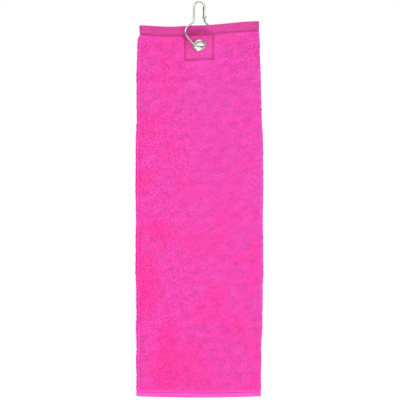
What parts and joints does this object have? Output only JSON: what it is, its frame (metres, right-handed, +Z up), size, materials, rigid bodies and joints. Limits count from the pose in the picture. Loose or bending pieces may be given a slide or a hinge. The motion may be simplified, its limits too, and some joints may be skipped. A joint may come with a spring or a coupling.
{
  "type": "golf towel",
  "caption": "Tri-fold terry golf towel with flat-woven hems, a sewn patch, a metal eyelet and a wire bag hook with a spring gate.",
  "frame": {"origin": "inside of the hook's top bend, where a bag's ring bears", "axes": "+Z up as the towel hangs, -Y out of the towel's front face, +X to the right seen from the front"},
  "size_m": [0.172, 0.0226, 0.5344],
  "materials": {
    "terry_cloth": "looped cotton terry, matt, hot pink",
    "flat_weave": "flat-woven cotton, matt, hot pink",
    "sewing_thread": "spun polyester sewing thread, slight sheen",
    "nickel_plate": "bright nickel plate",
    "gate_steel": "nickel-plated pressed steel"
  },
  "bodies": {
    "hook": {"hook_wire": "nickel_plate", "gate_rivet": "gate_steel"},
    "gate": {"gate": "gate_steel", "gate_spring": "gate_steel"},
    "towel": {"towel_cloth": "terry_cloth", "top_hem": "flat_weave", "bottom_hem": "flat_weave", "front_side_hem": "terry_cloth", "back_side_hem": "terry_cloth", "eyelet_patch": "flat_weave", "top_hem_thread_front": "sewing_thread", "top_hem_thread_back": "sewing_thread", "bottom_hem_thread_front": "sewing_thread", "bottom_hem_thread_back": "sewing_thread", "front_side_thread": "sewing_thread", "back_side_thread": "sewing_thread", "patch_thread": "sewing_thread", "eyelet": "nickel_plate", "eyelet_washer": "nickel_plate"}
  },
  "joints": [
    {"name": "gate_hinge", "type": "hinge", "parent": "hook", "child": "gate", "pos_m": [0.00713, 0.00317, -0.0195], "axis": [0.4067, -0.9135, 0], "range_deg": [0, 35], "stiffness_Nm_per_rad": 0.02, "springref_deg": -11.46},
    {"name": "towel_swing", "type": "hinge", "parent": "hook", "child": "towel", "pos_m": [0.00274, 0.00122, -0.0394], "axis": [0.4067, -0.9135, 0], "range_deg": [-35, 35]}
  ]
}
